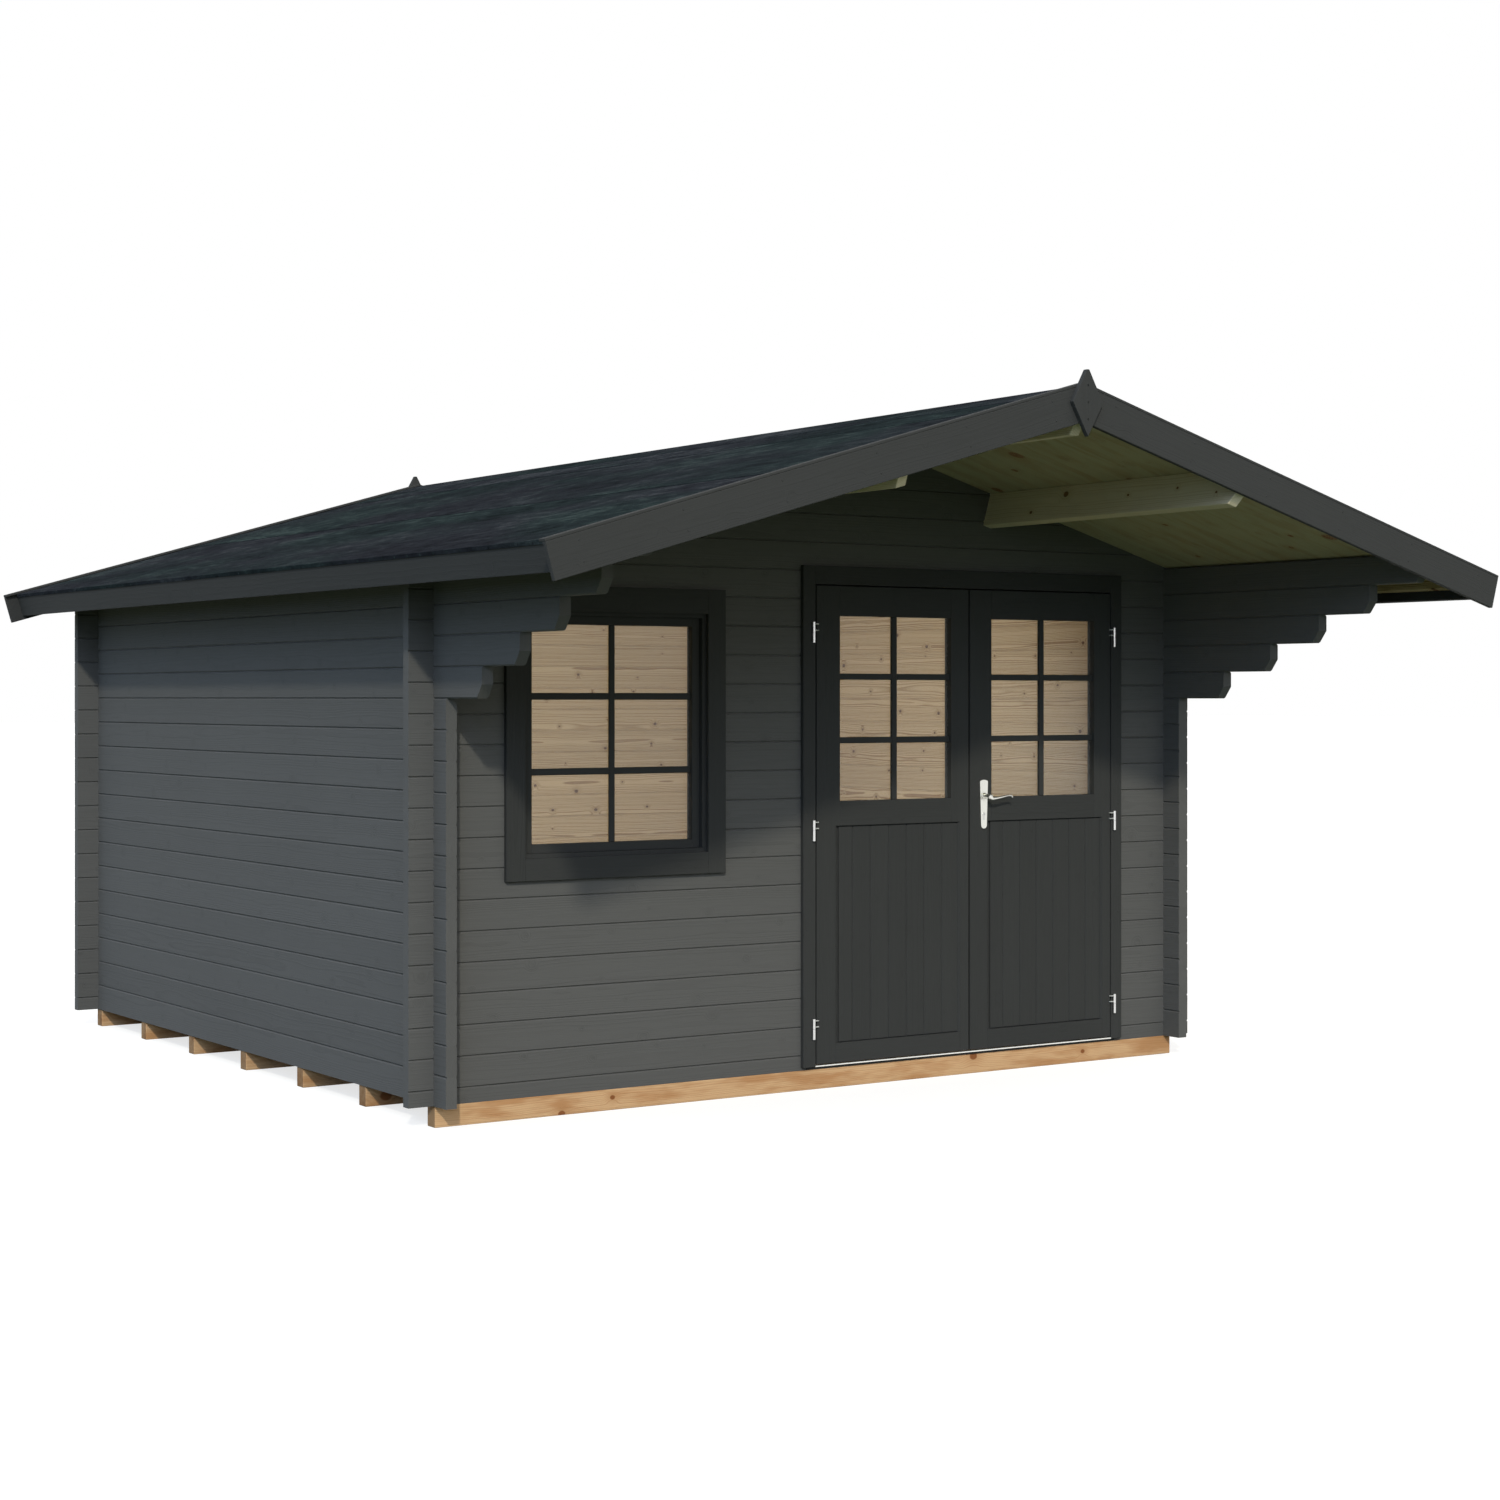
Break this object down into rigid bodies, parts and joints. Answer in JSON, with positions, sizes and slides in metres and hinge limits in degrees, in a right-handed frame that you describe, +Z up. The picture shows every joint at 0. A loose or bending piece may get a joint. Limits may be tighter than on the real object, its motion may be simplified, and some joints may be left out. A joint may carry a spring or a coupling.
{
  "type": "wooden garden house",
  "caption": "Square log garden house with a pitched felt roof that runs forward as a canopy on stepped corbels, a barred window and a glazed double door.",
  "frame": {"origin": "on the ground, under the middle of the house's overall box: x = 0 lies under the ridge, and y = 0 is midway between the front and rear finials", "axes": "+X to the right as one faces the doors, +Y from the doors to the back, +Z up"},
  "size_m": [4.35, 5.365, 2.7251],
  "materials": {
    "wall_paint": "opaque blue-grey stain on planed spruce logs",
    "trim_paint": "opaque anthracite stain on planed boards",
    "natural_pine": "untreated planed spruce with knots",
    "bearer_pine": "pressure-treated sawn pine with knots",
    "roof_felt": "mineral-coated bitumen felt, matt",
    "clear_glass": "clear float glass",
    "threshold_metal": "mill-finished aluminium strip",
    "hinge_metal": "zinc-plated steel",
    "handle_metal": "satin nickel-plated"
  },
  "bodies": {
    "root": {"left_wall": "wall_paint", "right_wall": "wall_paint", "corbels_left": "wall_paint", "corbels_right": "wall_paint", "front_wall_left": "wall_paint", "front_wall_right": "wall_paint", "front_gable": "wall_paint", "rear_wall": "wall_paint", "ridge_purlin": "natural_pine", "purlin_left": "natural_pine", "purlin_right": "natural_pine", "roof_boards_left": "natural_pine", "roof_boards_right": "natural_pine", "roof_felt_left": "roof_felt", "roof_felt_right": "roof_felt", "barge_front_left": "trim_paint", "barge_front_right": "trim_paint", "barge_rear_left": "trim_paint", "barge_rear_right": "trim_paint", "finial_front": "trim_paint", "finial_rear": "trim_paint", "fascia_left": "trim_paint", "fascia_right": "trim_paint", "bearers": "bearer_pine", "floor_boards": "natural_pine", "window_trim_boards": "trim_paint", "window_frame": "trim_paint", "window_sash": "trim_paint", "window_glass": "clear_glass", "door_trim_boards": "trim_paint", "door_frame": "trim_paint", "door_threshold": "threshold_metal", "hinge_posts": "hinge_metal"},
    "left_door": {"door_leaf_left": "trim_paint", "door_panel_left": "trim_paint", "door_glass_left": "clear_glass", "hinge_knuckles_left": "hinge_metal"},
    "right_door": {"door_leaf_right": "trim_paint", "door_panel_right": "trim_paint", "door_glass_right": "clear_glass", "hinge_knuckles_right": "hinge_metal", "handle_plate_outer": "handle_metal", "handle_plate_inner": "handle_metal"},
    "lever": {"door_lever": "handle_metal"}
  },
  "joints": [
    {"name": "left_door_swing", "type": "hinge", "parent": "root", "child": "left_door", "pos_m": [-0.134, -1.1795, 0.244], "axis": [0, 0, -1], "range_deg": [0, 170]},
    {"name": "right_door_swing", "type": "hinge", "parent": "root", "child": "right_door", "pos_m": [1.449, -1.1795, 0.244], "axis": [0, 0, 1], "range_deg": [0, 105]},
    {"name": "lever_turn", "type": "hinge", "parent": "right_door", "child": "lever", "pos_m": [0.73, -1.1725, 1.157], "axis": [0, 1, 0], "range_deg": [0, 45], "stiffness_Nm_per_rad": 1.5, "springref_deg": -22.92}
  ]
}
